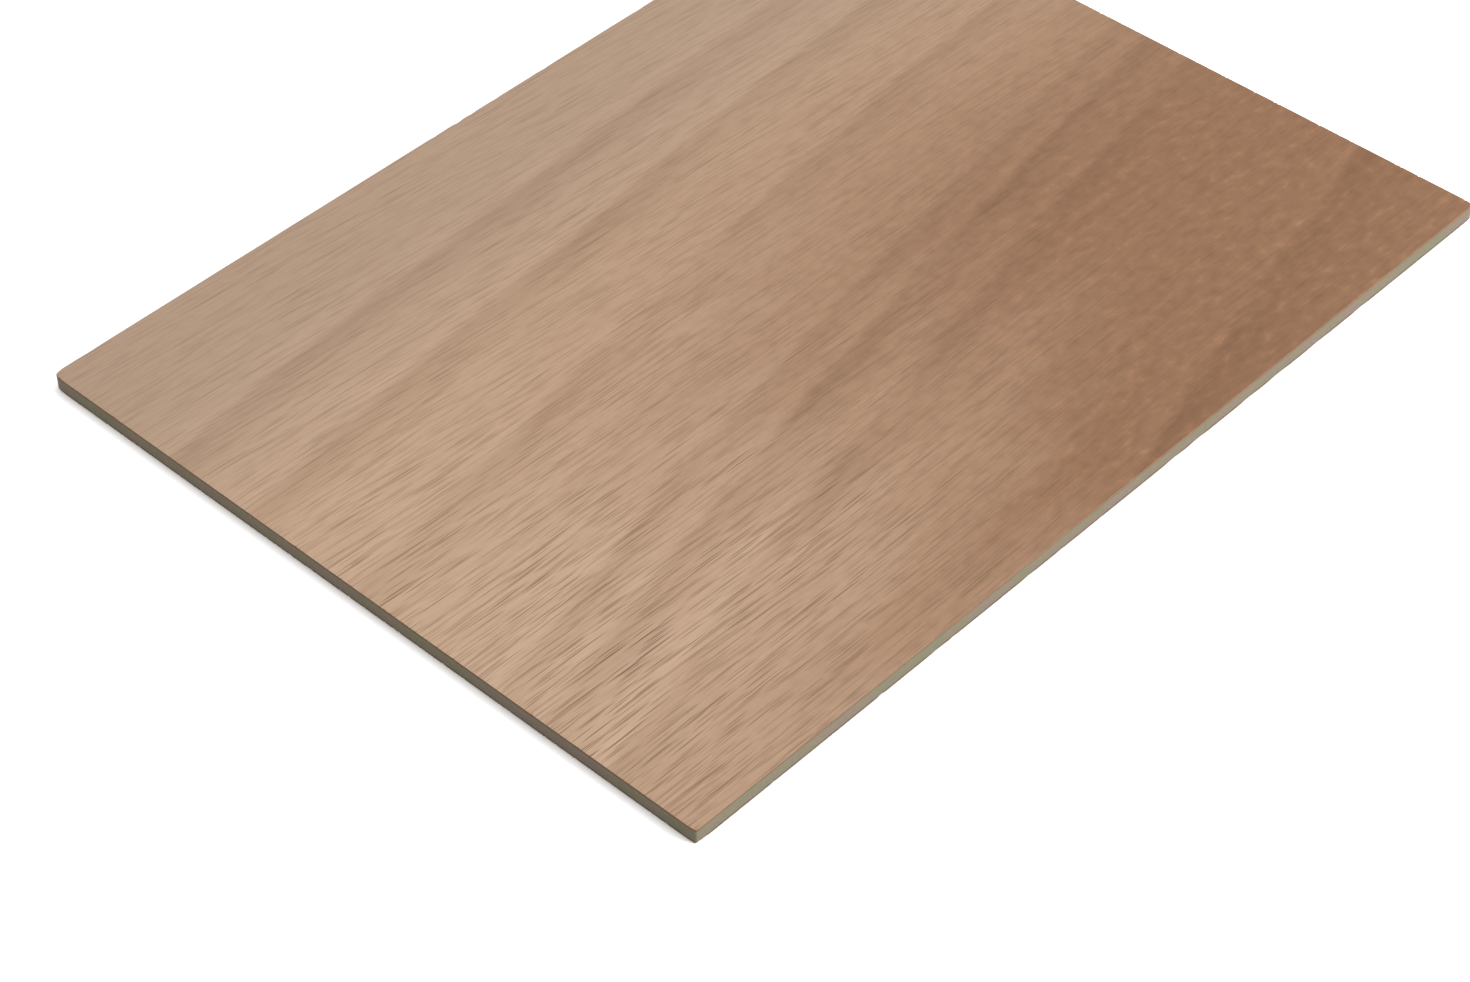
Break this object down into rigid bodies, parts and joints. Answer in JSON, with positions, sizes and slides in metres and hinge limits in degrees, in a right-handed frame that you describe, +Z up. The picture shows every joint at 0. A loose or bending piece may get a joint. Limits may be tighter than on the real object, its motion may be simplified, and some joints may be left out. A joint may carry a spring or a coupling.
{
  "type": "mahogany veneered mdf sheet",
  "caption": "Flat rectangular board: a fibreboard core faced and backed with straight-grained mahogany veneer, for cutting into panels and models.",
  "frame": {"origin": "centre of the underside, on the floor that the sheet lies on", "axes": "+X along the long side and the grain, +Y across the grain, +Z up out of the show face"},
  "size_m": [0.4, 0.3, 0.006],
  "materials": {
    "face_veneer": "matte",
    "mdf_core": "matte",
    "back_veneer": "matte"
  },
  "bodies": {
    "root": {"face_veneer": "face_veneer", "mdf_core": "mdf_core", "back_veneer": "back_veneer"}
  },
  "joints": []
}
